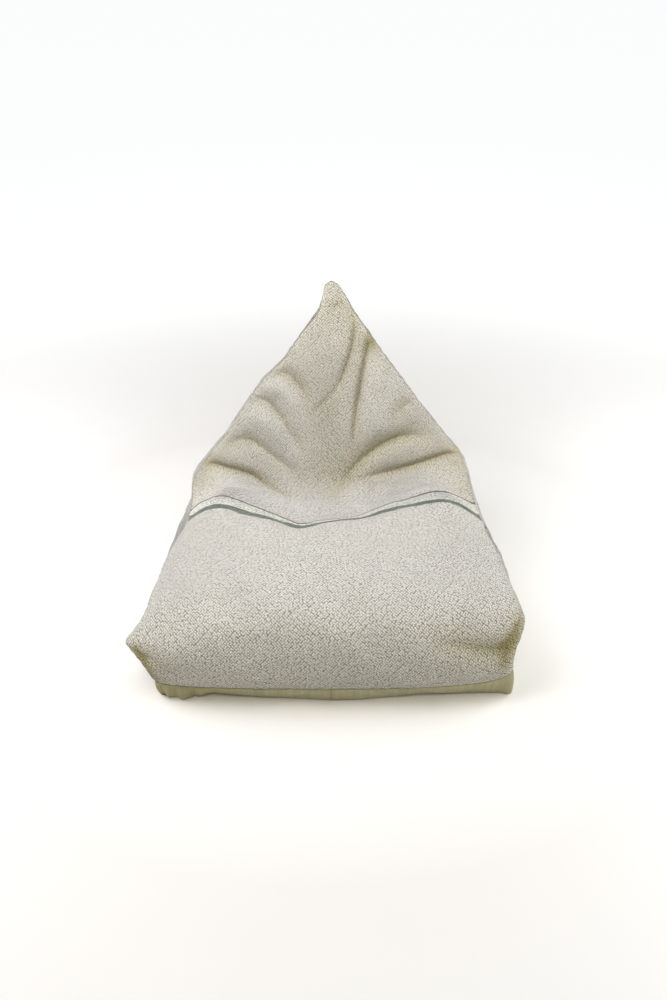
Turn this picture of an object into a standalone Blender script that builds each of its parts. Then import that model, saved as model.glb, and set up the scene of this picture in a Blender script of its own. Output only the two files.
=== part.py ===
"""A pyramid-shaped lounge pouf: a filled cloth bag with a seat pressed into its front and a pointed back.

Metres, +Z up. The front looks along -Y, the bottom lies on z = 0, and the bag is centred over the origin.

The bag is sewn from four cut pieces, and each is built here as a closed, filled solid:
  front_panel  the long panel from the lower front seam over the seat and up to the point
  back_panel   the sides and the rear, in one piece
  base_left    the left half of the base, whose rim shows below the lower seam
  base_right   the right half of the base, joined to the left half by the seam in the middle

The bag is skinned over rows. A row is one line of the cloth from the left side seam to the right one,
across the front (front panel) or around the rear (back panel). The two panels meet in the side seams and
part inside the bag along a surface halfway between them. Beside a seam the cloth puffs out, swells and
creases then push it out or in along its own normal.
"""
from collections import namedtuple

import bmesh
import bpy
import numpy as np

# Driving sizes of the bag
PANEL_LENGTH = 1.195       # front panel from the lower seam to the point, along its middle
SEAM_GAP = 0.0003          # between two sewn pieces
PUFF = 0.005               # how far the cloth stands out beside a seam
PUFF_REACH = 0.009         # how far from the seam it takes to do so
EAR_REACH = 0.065          # how far a pulled-out corner reaches into the panel
MIDDLE_X = -0.005          # the middle of both panels, and the base's middle seam
CREASE_EDGE = 0.022        # creases fade over this distance before a seam
SWELL_EDGE = 0.030         # swells rise from the seam within this distance
CREASE_SOFTNESS = 0.008    # creases are this much wider here than in the cloth, for the mesh to hold them

# Each section is one row of the cloth:
#   along        distance from the lower seam, up the middle of the front panel
#   left, right  where the side seams run (x, y, z)
#   middle       the front panel's middle (y, z)
#   rear         the back panel's middle (y, z)
#   side         half the bag's width just behind the seams
#   front_square, rear_square  how square a row is: 2 is an ellipse, more is boxier
#   front_lean, rear_lean      the same at its ends: under 2 the cloth leans inwards right beside the seam
Section = namedtuple(
    "Section", "along left right middle rear side front_square front_lean rear_square rear_lean")
SECTIONS = (
    Section(0.000, (-0.396, -0.408, 0.045), (0.397, -0.400, 0.074), (-0.440, 0.044), (0.440, 0.045), 0.400,
            2.7, 2.7, 5.0, 5.00),
    Section(0.050, (-0.417, -0.397, 0.085), (0.393, -0.396, 0.127), (-0.451, 0.094), (0.453, 0.078), 0.404,
            3.0, 3.0, 4.6, 4.60),
    Section(0.100, (-0.448, -0.379, 0.113), (0.414, -0.368, 0.178), (-0.447, 0.142), (0.460, 0.108), 0.394,
            2.8, 2.8, 4.4, 4.20),
    Section(0.116, (-0.458, -0.369, 0.120), (0.417, -0.359, 0.185), (-0.442, 0.156), (0.461, 0.116), 0.390,
            2.7, 2.7, 4.3, 4.00),
    Section(0.150, (-0.434, -0.335, 0.140), (0.409, -0.333, 0.199), (-0.427, 0.186), (0.463, 0.135), 0.382,
            2.6, 2.6, 4.0, 3.60),
    Section(0.220, (-0.409, -0.275, 0.178), (0.394, -0.275, 0.216), (-0.370, 0.226), (0.463, 0.165), 0.379,
            2.4, 2.4, 3.6, 3.00),
    Section(0.320, (-0.391, -0.190, 0.203), (0.383, -0.190, 0.228), (-0.272, 0.248), (0.460, 0.200), 0.374,
            2.4, 2.4, 3.2, 2.60),
    Section(0.430, (-0.370, -0.110, 0.224), (0.365, -0.115, 0.237), (-0.162, 0.249), (0.453, 0.235), 0.359,
            2.4, 2.4, 2.9, 2.20),
    Section(0.530, (-0.352, -0.060, 0.244), (0.358, -0.060, 0.245), (-0.062, 0.247), (0.444, 0.268), 0.350,
            2.4, 2.4, 2.6, 1.80),
    Section(0.580, (-0.344, -0.025, 0.276), (0.344, -0.025, 0.276), (-0.013, 0.240), (0.437, 0.290), 0.343,
            2.4, 1.8, 2.5, 1.60),
    Section(0.640, (-0.340, 0.008, 0.324), (0.330, 0.010, 0.320), (0.047, 0.241), (0.426, 0.316), 0.331,
            2.4, 1.5, 2.4, 1.35),
    Section(0.700, (-0.310, 0.036, 0.366), (0.310, 0.036, 0.377), (0.092, 0.274), (0.411, 0.346), 0.306,
            2.4, 1.3, 2.3, 1.20),
    Section(0.760, (-0.267, 0.058, 0.413), (0.273, 0.060, 0.416), (0.108, 0.333), (0.393, 0.380), 0.269,
            2.4, 1.2, 2.2, 1.10),
    Section(0.840, (-0.222, 0.083, 0.474), (0.221, 0.086, 0.476), (0.123, 0.411), (0.363, 0.432), 0.221,
            2.4, 1.2, 2.1, 1.10),
    Section(0.920, (-0.173, 0.108, 0.537), (0.170, 0.112, 0.536), (0.141, 0.489), (0.327, 0.500), 0.171,
            2.4, 1.2, 2.0, 1.10),
    Section(1.000, (-0.115, 0.137, 0.591), (0.122, 0.140, 0.594), (0.156, 0.567), (0.291, 0.568), 0.118,
            2.3, 1.2, 2.0, 1.10),
    Section(1.070, (-0.076, 0.164, 0.640), (0.078, 0.168, 0.650), (0.172, 0.636), (0.259, 0.634), 0.076,
            2.2, 1.2, 2.0, 1.10),
    Section(1.130, (-0.033, 0.190, 0.690), (0.041, 0.194, 0.698), (0.188, 0.692), (0.238, 0.690), 0.036,
            2.0, 1.4, 2.0, 1.30),
    Section(1.170, (-0.024, 0.207, 0.727), (0.021, 0.209, 0.731), (0.196, 0.730), (0.229, 0.730), 0.022,
            2.0, 2.0, 2.0, 1.80),
    Section(1.190, (-0.019, 0.215, 0.743), (0.009, 0.216, 0.745), (0.206, 0.746), (0.226, 0.746), 0.014,
            2.0, 2.0, 2.0, 2.00),
    Section(1.195, (-0.012, 0.216, 0.748), (0.002, 0.217, 0.749), (0.212, 0.751), (0.221, 0.751), 0.007,
            2.0, 2.0, 2.0, 2.00),
)

# Broad swells and hollows of the front panel, at places measured along the cloth in metres:
# sideways from the panel's middle (left is minus) and along from the lower seam.
Swell = namedtuple("Swell", "sideways along wide long height")
SWELLS = (
    Swell(-0.285, 0.600, 0.085, 0.120, 0.055),
    Swell(0.290, 0.605, 0.100, 0.120, 0.066),
    Swell(-0.080, 0.530, 0.050, 0.050, -0.018),
    Swell(0.150, 0.540, 0.060, 0.080, 0.014),
    Swell(-0.005, 0.830, 0.055, 0.190, -0.024),
    Swell(0.020, 0.580, 0.070, 0.028, -0.012),
)

# Creases of the front panel: points as (sideways, along, depth), how wide the slopes are above the crease
# (towards the point of the bag, or to the left) and below it, and how round its bottom is.
Crease = namedtuple("Crease", "points above below bottom")
CREASES = (
    # Left shoulder, a sharp fold behind the hump
    Crease(((-0.372, 0.682, 0.014), (-0.335, 0.694, 0.020), (-0.291, 0.702, 0.023), (-0.245, 0.704, 0.025),
            (-0.201, 0.699, 0.024), (-0.171, 0.685, 0.019), (-0.148, 0.670, 0.013), (-0.120, 0.657, 0.008),
            (-0.098, 0.652, 0.003)), 0.009, 0.005, 0.001),
    # Right shoulder
    Crease(((0.086, 0.705, 0.007), (0.124, 0.711, 0.016), (0.162, 0.714, 0.022), (0.202, 0.718, 0.025),
            (0.244, 0.721, 0.026), (0.289, 0.721, 0.025), (0.333, 0.713, 0.022), (0.360, 0.702, 0.015)),
           0.012, 0.006, 0.001),
    # Over the right shoulder, out of the valley
    Crease(((0.014, 0.664, 0.008), (0.035, 0.702, 0.016), (0.063, 0.735, 0.023), (0.092, 0.761, 0.027),
            (0.121, 0.779, 0.027), (0.155, 0.790, 0.026), (0.188, 0.792, 0.022), (0.217, 0.785, 0.013),
            (0.246, 0.768, 0.005)), 0.020, 0.010, 0.002),
    # Over the left shoulder
    Crease(((-0.287, 0.748, 0.003), (-0.253, 0.766, 0.010), (-0.213, 0.778, 0.014), (-0.187, 0.774, 0.014),
            (-0.160, 0.759, 0.012), (-0.134, 0.744, 0.012), (-0.110, 0.729, 0.010), (-0.086, 0.706, 0.004)),
           0.015, 0.009, 0.002),
    # Left of the back, the lower and the upper fold
    Crease(((-0.216, 0.868, 0.004), (-0.192, 0.880, 0.011), (-0.163, 0.883, 0.015), (-0.143, 0.869, 0.016),
            (-0.125, 0.851, 0.015), (-0.109, 0.824, 0.012), (-0.090, 0.799, 0.008), (-0.074, 0.770, 0.003)),
           0.013, 0.010, 0.002),
    Crease(((-0.155, 0.946, 0.008), (-0.134, 0.956, 0.014), (-0.113, 0.960, 0.016), (-0.090, 0.947, 0.016),
            (-0.073, 0.924, 0.014), (-0.065, 0.899, 0.009), (-0.070, 0.868, 0.003)), 0.014, 0.012, 0.003),
    # Right of the back, below its edge
    Crease(((0.150, 0.842, 0.003), (0.172, 0.860, 0.009), (0.190, 0.869, 0.010), (0.208, 0.870, 0.006)),
           0.013, 0.010, 0.003),
    # Two upright ones below the point; the right one starts in a pinch beside the seam
    Crease(((0.043, 1.140, 0.004), (0.051, 1.112, 0.010), (0.056, 1.078, 0.014), (0.049, 1.031, 0.015),
            (0.037, 0.992, 0.014), (0.024, 0.950, 0.011), (0.009, 0.920, 0.004)), 0.013, 0.009, 0.004),
    Crease(((0.100, 1.050, 0.018), (0.092, 1.036, 0.023), (0.084, 1.010, 0.020), (0.077, 0.971, 0.020),
            (0.069, 0.929, 0.021), (0.062, 0.882, 0.021), (0.057, 0.842, 0.019), (0.054, 0.806, 0.010),
            (0.054, 0.790, 0.004)), 0.014, 0.010, 0.003),
    # Small ones: between the two right shoulder folds, beside the right seam, and at the point
    Crease(((0.050, 0.689, 0.003), (0.076, 0.696, 0.007), (0.100, 0.690, 0.003)), 0.008, 0.006, 0.001),
    Crease(((0.312, 0.698, 0.003), (0.332, 0.688, 0.006), (0.352, 0.672, 0.004)), 0.007, 0.006, 0.001),
    Crease(((0.002, 1.124, 0.002), (0.010, 1.136, 0.005), (0.016, 1.146, 0.003)), 0.006, 0.005, 0.001),
    # Hollows under the right and the left corner
    Crease(((0.205, 0.131, 0.002), (0.243, 0.121, 0.007), (0.278, 0.111, 0.012), (0.311, 0.098, 0.015),
            (0.345, 0.086, 0.017), (0.375, 0.080, 0.016), (0.400, 0.080, 0.010)), 0.022, 0.013, 0.006),
    Crease(((-0.430, 0.092, 0.006), (-0.411, 0.082, 0.009), (-0.390, 0.073, 0.009), (-0.366, 0.057, 0.007),
            (-0.338, 0.043, 0.003)), 0.012, 0.008, 0.002),
    # Rolls of cloth between the folds, raised instead of sunk
    Crease(((-0.205, 0.912, -0.004), (-0.170, 0.920, -0.010), (-0.130, 0.920, -0.012),
            (-0.099, 0.895, -0.011), (-0.082, 0.865, -0.004)), 0.020, 0.018, 0.010),
    Crease(((-0.262, 0.822, -0.005), (-0.220, 0.836, -0.009), (-0.175, 0.835, -0.010),
            (-0.137, 0.806, -0.009), (-0.105, 0.770, -0.004)), 0.024, 0.022, 0.012),
    Crease(((0.108, 0.990, -0.005), (0.107, 0.945, -0.010), (0.102, 0.895, -0.012), (0.105, 0.850, -0.010),
            (0.130, 0.830, -0.004)), 0.016, 0.024, 0.010),
)

# Mesh: columns across each skin, and the rows as (along, step to the next row)
FRONT_COLUMNS = 44
BACK_COLUMNS = 36
INNER_COLUMNS = 6
ROW_STEPS = ((0.000, 0.007), (0.012, 0.016), (0.100, 0.018), (0.300, 0.024), (0.500, 0.020), (0.600, 0.014),
             (0.850, 0.014), (1.000, 0.022), (1.130, 0.020), (1.185, 0.005), (1.195, 0.005))

# Rim of the base, from its seam to the floor: share of the seam's height, how far it stands out, and
# what share of the tuck it has drawn in
BASE_RIM = ((1.00, 0.000, 0.00), (0.86, 0.003, 0.10), (0.55, 0.005, 0.42),
            (0.24, 0.004, 0.74), (0.07, 0.002, 0.92), (0.00, -0.001, 1.00))
# The tuck along the left and the right side, and along the rear, where both halves meet
SIDE_TUCK = (0.012, -0.002)
REAR_TUCK = 0.004
# The tuck along the front, as (x, how far the rim is drawn in at the floor), slumped near the left corner
FRONT_TUCK = ((-0.410, 0.010), (-0.375, 0.005), (-0.340, 0.000), (-0.305, 0.012), (-0.278, 0.026),
              (-0.200, 0.020), (-0.120, 0.016), (-0.005, 0.010), (0.060, 0.014), (0.127, 0.020),
              (0.200, 0.025), (0.330, 0.022), (0.380, 0.006), (0.400, 0.000))

# Finish: base colours and roughness
NATURAL_COTTON = (0.60, 0.57, 0.48)
BASE_COTTON = (0.42, 0.39, 0.26)
COTTON_ROUGHNESS = 0.9


# Rows of the cloth

def smooth_through(knots, values, where):
    """Values at the places asked for, read from a smooth curve through the given ones."""
    knots = np.asarray(knots, float)
    values = np.asarray(values, float)
    where = np.asarray(where, float)
    slopes = np.gradient(values, knots, axis=0)
    index = np.clip(np.searchsorted(knots, where, side="right") - 1, 0, len(knots) - 2)
    span = knots[index + 1] - knots[index]
    t = (where - knots[index]) / span
    if t.ndim:
        span = span[:, None]
        t = t[:, None]
    start = values[index] * (1 + 2 * t) * (1 - t) ** 2 + values[index + 1] * t ** 2 * (3 - 2 * t)
    return start + span * (slopes[index] * t * (1 - t) ** 2 - slopes[index + 1] * t ** 2 * (1 - t))


def section_at(along):
    """The section at any distance along the panel."""
    knots = [section.along for section in SECTIONS]
    flat = [np.hstack(section) for section in SECTIONS]
    row = smooth_through(knots, flat, along)
    return Section(row[0], row[1:4], row[4:7], row[7:9], row[9:11], *row[11:])


def half_turn(square, lean, count=361):
    """A half turn from left to right as (sideways, ahead), both of size 1, squarer for higher numbers."""
    angle = np.radians(np.linspace(-90.0, 90.0, count))
    side = np.sign(angle) * np.abs(np.sin(angle)) ** (2.0 / square)
    ahead = np.abs(np.cos(angle)) ** (2.0 / lean)
    ahead[0] = 0.0
    ahead[-1] = 0.0
    return side, ahead


def spread_along(points, fractions):
    """Points at the given fractions of a line's length, and that length."""
    steps = np.linalg.norm(np.diff(points, axis=0), axis=1)
    length = np.concatenate(([0.0], np.cumsum(steps)))
    where = np.asarray(fractions) * length[-1]
    return np.stack([np.interp(where, length, points[:, axis]) for axis in range(3)], axis=1), length[-1]


def cloth_row(section, middle, square, lean, across):
    """One row by way of the given middle (y, z), at places across it from -1 (left seam) to 1 (right seam).

    Gives the points, and how far each lies from the middle along the cloth.
    """
    side, ahead = half_turn(square, lean)
    seam = np.where(side[:, None] < 0, section.left, section.right)
    y = seam[:, 1] + (middle[0] - seam[:, 1]) * ahead
    z = seam[:, 2] + (middle[1] - seam[:, 2]) * ahead
    from_seam = np.hypot((1.0 - np.abs(side)) * section.side, y - seam[:, 1])
    pulled = (np.abs(seam[:, 0] - MIDDLE_X) - section.side) * np.exp(-(from_seam / EAR_REACH) ** 2)
    x = MIDDLE_X + side * (section.side + pulled)
    line = np.stack((x, y, z), axis=1)
    half = len(line) // 2
    across = np.asarray(across)
    left, left_length = spread_along(line[:half + 1], 1.0 + across[across < 0])
    right, right_length = spread_along(line[half:], across[across >= 0])
    return np.concatenate((left, right)), across * np.where(across < 0, left_length, right_length)


def cloth_grid(kind, rows, across):
    """A panel's points in rows, how far each lies sideways, and half the length of its row."""
    points = []
    sideways = []
    half = []
    for along in rows:
        section = section_at(along)
        if kind == "front":
            row, offset = cloth_row(
                section, section.middle, section.front_square, section.front_lean, across)
        else:
            row, offset = cloth_row(section, section.rear, section.rear_square, section.rear_lean, across)
        points.append(row)
        sideways.append(offset)
        half.append(np.where(np.asarray(across) < 0, -offset[0], offset[-1]))
    return np.array(points), np.array(sideways), np.array(half)


# Relief of the cloth

def outward_of(grid):
    """Unit normals of a grid: away from the bag for the front panel, into it for the back panel."""
    up = np.gradient(grid, axis=0)
    right = np.gradient(grid, axis=1)
    normal = np.cross(right, up)
    return normal / np.maximum(np.linalg.norm(normal, axis=2, keepdims=True), 1e-12)


def swell_height(sideways, along):
    height = np.zeros_like(sideways)
    for swell in SWELLS:
        spread = ((sideways - swell.sideways) / swell.wide) ** 2 + ((along - swell.along) / swell.long) ** 2
        height += swell.height * np.exp(-spread)
    return height


def crease_depth(sideways, along):
    """How deep the creases are at places on the cloth."""
    total = np.zeros_like(sideways)
    for crease in CREASES:
        points = np.array(crease.points, float)
        places = np.linspace(0.0, len(points) - 1.0, 6 * (len(points) - 1) + 1)
        line = smooth_through(np.arange(len(points)), points, places)
        nearest = np.full(sideways.shape, np.inf)
        side = np.zeros_like(sideways)
        depth = np.zeros_like(sideways)
        for start, end in zip(line[:-1], line[1:]):
            run = end - start
            share = ((sideways - start[0]) * run[0] + (along - start[1]) * run[1]) / (run[:2] @ run[:2])
            share = np.clip(share, 0.0, 1.0)
            off_x = sideways - start[0] - share * run[0]
            off_v = along - start[1] - share * run[1]
            distance = np.hypot(off_x, off_v)
            closer = distance < nearest
            nearest = np.where(closer, distance, nearest)
            side = np.where(closer, run[0] * off_v - run[1] * off_x, side)
            depth = np.where(closer, start[2] + share * run[2], depth)
        width = np.where(side > 0, crease.above, crease.below) + CREASE_SOFTNESS
        bottom = crease.bottom + CREASE_SOFTNESS
        beyond = np.sqrt(nearest ** 2 + bottom ** 2) - bottom
        total += depth * np.exp(-beyond / width)
    return total


def cloth_skin(kind, rows, across):
    """A panel's outer surface, with its puffed edges, swells and creases."""
    grid, sideways, half = cloth_grid(kind, rows, across)
    along = np.tile(np.asarray(rows)[:, None], (1, len(across)))
    to_seam = np.minimum(half - np.abs(sideways), along)
    out = PUFF * (1.0 - np.exp(-to_seam / PUFF_REACH))
    if kind == "front":
        out += (1.0 - np.exp(-to_seam / SWELL_EDGE)) * swell_height(sideways, along)
        out -= (1.0 - np.exp(-(to_seam / CREASE_EDGE) ** 2)) * crease_depth(sideways, along)
    out *= np.clip((PANEL_LENGTH - along) / 0.05, 0.0, 1.0)
    outward = outward_of(grid) * (1.0 if kind == "front" else -1.0)
    return grid + outward * out[:, :, None]


def inner_skin(rows, across):
    """The surface inside the bag where the two panels' fillings meet, and its normals towards the front."""
    front, _, _ = cloth_grid("front", rows, across)
    back, _, _ = cloth_grid("back", rows, across)
    middle = (front + back) / 2
    forward = outward_of(middle)
    forward *= np.where(forward @ (0.0, -1.0, 1.0) < 0, -1.0, 1.0)[:, :, None]
    forward[:, 0] = forward[:, 1]
    forward[:, -1] = forward[:, -2]
    return middle, forward


# Meshes

def mesh_rows():
    """Distances along the panel at which the mesh has a row."""
    places, steps = np.array(ROW_STEPS).T
    rows = [0.0]
    while rows[-1] < PANEL_LENGTH:
        rows.append(rows[-1] + np.interp(rows[-1], places, steps))
    return np.array(rows) * PANEL_LENGTH / rows[-1]


def mesh_columns(count, edge=0.018):
    """Places across a row from -1 to 1, with one narrow column beside each seam."""
    return np.concatenate(([-1.0], np.linspace(edge - 1.0, 1.0 - edge, count - 1), [1.0]))


def grid_faces(numbers):
    """Quads of a grid of vertex numbers."""
    faces = []
    for row in range(numbers.shape[0] - 1):
        for column in range(numbers.shape[1] - 1):
            faces.append((numbers[row, column], numbers[row, column + 1],
                          numbers[row + 1, column + 1], numbers[row + 1, column]))
    return faces


def zip_faces(first, first_across, second, second_across):
    """Triangles between two lines of vertex numbers, by their places across the row."""
    faces = []
    i = 0
    j = 0
    while i < len(first) - 1 or j < len(second) - 1:
        second_done = j == len(second) - 1
        first_next = second_done or (i < len(first) - 1 and first_across[i + 1] <= second_across[j + 1])
        corner = (first[i], first[i + 1] if first_next else second[j + 1], second[j])
        if len(set(corner)) == 3:
            faces.append(corner)
        i += first_next
        j += not first_next
    return faces


def half_columns(across, right_half):
    """Column numbers of the left or the right half of a row, each with the middle column."""
    middle = len(across) // 2
    return np.arange(middle, len(across)) if right_half else np.arange(0, middle + 1)


def build_object(name, vertices, faces, colour):
    """A closed, smooth-shaded object with its own material."""
    body = bmesh.new()
    corners = [body.verts.new(vertex) for vertex in vertices]
    for face in faces:
        body.faces.new([corners[number] for number in face])
    bmesh.ops.delete(body, geom=[vertex for vertex in body.verts if not vertex.link_faces], context="VERTS")
    bmesh.ops.recalc_face_normals(body, faces=body.faces)
    mesh = bpy.data.meshes.new(name)
    body.to_mesh(mesh)
    body.free()
    mesh.shade_smooth()
    mesh.set_sharp_from_angle(angle=np.radians(50.0))
    mesh.materials.append(cotton(name, colour))
    built = bpy.data.objects.new(name, mesh)
    bpy.context.scene.collection.objects.link(built)
    return built


def cotton(name, colour):
    """A matt cotton finish."""
    finish = bpy.data.materials.new(name + "_cotton")
    finish.use_nodes = True
    shader = finish.node_tree.nodes["Principled BSDF"]
    shader.inputs["Base Color"].default_value = (*colour, 1.0)
    shader.inputs["Roughness"].default_value = COTTON_ROUGHNESS
    shader.inputs["Metallic"].default_value = 0.0
    finish.diffuse_color = (*colour, 1.0)
    return finish


def build_panel(name, outer, outer_across, inner, inner_across):
    """A panel with its filling: the outer skin, the inner skin, and a cap at the base and at the point."""
    inner_numbers = np.arange(inner.shape[0] * inner.shape[1]).reshape(inner.shape[:2])
    outer_numbers = inner_numbers.size + np.arange(outer.shape[0] * outer.shape[1]).reshape(outer.shape[:2])
    outer_numbers[:, 0] = inner_numbers[:, 0]
    outer_numbers[:, -1] = inner_numbers[:, -1]
    faces = grid_faces(outer_numbers) + grid_faces(inner_numbers)
    for row in (0, -1):
        for right_half in (False, True):
            one = half_columns(outer_across, right_half)
            two = half_columns(inner_across, right_half)
            faces += zip_faces(outer_numbers[row, one], outer_across[one],
                               inner_numbers[row, two], inner_across[two])
    vertices = np.concatenate((inner.reshape(-1, 3), outer.reshape(-1, 3)))
    return build_object(name, vertices, faces, NATURAL_COTTON)


def build_base_half(name, right_half, edges, across):
    """Half of the base: a top that follows the panels' undersides, a rim, and a flat bottom.

    edges and across hold the lowest row of the front panel, the back panel and the inner skin.
    """
    columns = {kind: half_columns(across[kind], right_half) for kind in edges}
    order = 1 if right_half else -1
    front = edges["front"][columns["front"]][::order]
    back = edges["back"][columns["back"]][::order]
    inner = edges["inner"][columns["inner"]][::order]
    loop = np.concatenate((front, back[::-1][1:]))
    corner = len(front) - 1

    run = np.gradient(loop, axis=0)[:, :2]
    outward = np.stack((run[:, 1], -run[:, 0]), axis=1) * order
    outward /= np.linalg.norm(outward, axis=1, keepdims=True)
    outward[0] = (0.0, -1.0)
    outward[-1] = (0.0, 1.0)
    places, tucks = np.array(FRONT_TUCK).T
    facing_front = np.maximum(-outward[:, 1], 0.0) ** 2
    facing_rear = np.maximum(outward[:, 1], 0.0) ** 2
    side_tuck = SIDE_TUCK[right_half]
    tuck = side_tuck + facing_front * (np.interp(loop[:, 0], places, tucks) - side_tuck)
    tuck += facing_rear * (REAR_TUCK - side_tuck)
    rim = np.repeat(loop[None], len(BASE_RIM), axis=0)
    for level, (share, stand_out, drawn_in) in enumerate(BASE_RIM):
        rim[level, :, :2] += outward * (stand_out - drawn_in * tuck)[:, None]
        rim[level, :, 2] *= share
    rim[:, (0, -1), 0] += order * SEAM_GAP / 2
    top = inner[:-1].copy()
    top[0, 0] += order * SEAM_GAP / 2
    floor = top * (1.0, 1.0, 0.0)

    rim_numbers = np.arange(rim.shape[0] * rim.shape[1]).reshape(rim.shape[:2])
    top_numbers = rim_numbers.size + np.arange(len(top))
    floor_numbers = top_numbers + len(top)
    faces = grid_faces(rim_numbers)
    for ring, middle in ((rim_numbers[0], top_numbers), (rim_numbers[-1], floor_numbers)):
        middle = np.append(middle, ring[corner])[::order]
        front_ring = ring[:corner + 1][::order]
        back_ring = ring[corner:][::-1][::order]
        inner_across = across["inner"][columns["inner"]]
        faces += zip_faces(front_ring, across["front"][columns["front"]], middle, inner_across)
        faces += zip_faces(back_ring, across["back"][columns["back"]], middle, inner_across)
    faces.append((*rim_numbers[:, 0], floor_numbers[0], *rim_numbers[::-1, -1], top_numbers[0]))
    return build_object(name, np.concatenate((rim.reshape(-1, 3), top, floor)), faces, BASE_COTTON)


def build_pouf():
    """All four pieces."""
    rows = mesh_rows()
    across = {"front": mesh_columns(FRONT_COLUMNS), "back": mesh_columns(BACK_COLUMNS),
              "inner": mesh_columns(INNER_COLUMNS, edge=0.10)}
    inner, forward = inner_skin(rows, across["inner"])
    apart = forward * SEAM_GAP / 2
    lift = np.array((0.0, 0.0, SEAM_GAP))
    before = inner + apart + lift
    behind = inner - apart + lift
    skins = {kind: cloth_skin(kind, rows, across[kind]) for kind in ("front", "back")}
    edges = {"front": skins["front"][0], "back": skins["back"][0], "inner": inner[0]}
    return (
        build_panel("front_panel", skins["front"] + lift, across["front"], before, across["inner"]),
        build_panel("back_panel", skins["back"] + lift, across["back"], behind, across["inner"]),
        build_base_half("base_left", False, edges, across),
        build_base_half("base_right", True, edges, across),
    )


def centre_on_origin(pieces):
    """Hangs the pieces from an empty that puts the middle of the whole bag over the origin."""
    corners = np.concatenate([[vertex.co for vertex in piece.data.vertices] for piece in pieces])
    middle = (corners.min(axis=0) + corners.max(axis=0)) / 2
    holder = bpy.data.objects.new("pouf", None)
    holder.location = (-middle[0], -middle[1], 0.0)
    bpy.context.scene.collection.objects.link(holder)
    for piece in pieces:
        piece.parent = holder


def main():
    for leftover in list(bpy.data.objects):
        bpy.data.objects.remove(leftover, do_unlink=True)
    centre_on_origin(build_pouf())


main()
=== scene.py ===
"""The looks of a pyramid-shaped lounge pouf of coarse natural cotton, sewn from four pieces.

The sections, swells and folds are those of the CAD source, but the folds are sharper here, one of them is
longer, and the base is tucked in a little more at the floor. The cloth gets what the solids leave out:
puckered seams, small creases, uneven filling, the weave and the stripes.
"""
import math
from collections import namedtuple

import bmesh
import bpy
import numpy as np
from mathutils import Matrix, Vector


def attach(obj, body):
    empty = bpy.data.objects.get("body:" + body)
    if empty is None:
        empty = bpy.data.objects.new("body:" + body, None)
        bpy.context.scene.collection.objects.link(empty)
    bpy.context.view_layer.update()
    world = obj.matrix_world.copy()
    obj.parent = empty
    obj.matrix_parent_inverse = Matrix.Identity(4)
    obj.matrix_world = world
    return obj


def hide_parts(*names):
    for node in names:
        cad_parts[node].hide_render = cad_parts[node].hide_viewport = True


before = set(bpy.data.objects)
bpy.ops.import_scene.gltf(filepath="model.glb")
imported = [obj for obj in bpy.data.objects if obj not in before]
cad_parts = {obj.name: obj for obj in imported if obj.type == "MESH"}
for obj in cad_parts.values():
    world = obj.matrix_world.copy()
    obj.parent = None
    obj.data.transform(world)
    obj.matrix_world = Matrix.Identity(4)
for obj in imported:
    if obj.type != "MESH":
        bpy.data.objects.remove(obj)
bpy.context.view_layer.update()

# Driving sizes of the bag, as in the CAD source but for a fuller puff beside the seams
PANEL_LENGTH = 1.195
SEAM_GAP = 0.0003
PUFF = 0.006
PUFF_REACH = 0.008
EAR_REACH = 0.065
MIDDLE_X = -0.005
CREASE_EDGE = 0.022
SWELL_EDGE = 0.030
POINT_CALM = 0.05
TO_FRONT = (0.0, -1.0, 1.0)
# Moves the bag to the middle of the frame
TO_CENTRE = (0.0206, -0.0061, 0.0)
# Added to the widths of each crease, so that the fine mesh can follow it
CREASE_SOFTNESS = 0.001
# Steps between two points of a crease
CREASE_STEPS = 6

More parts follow.
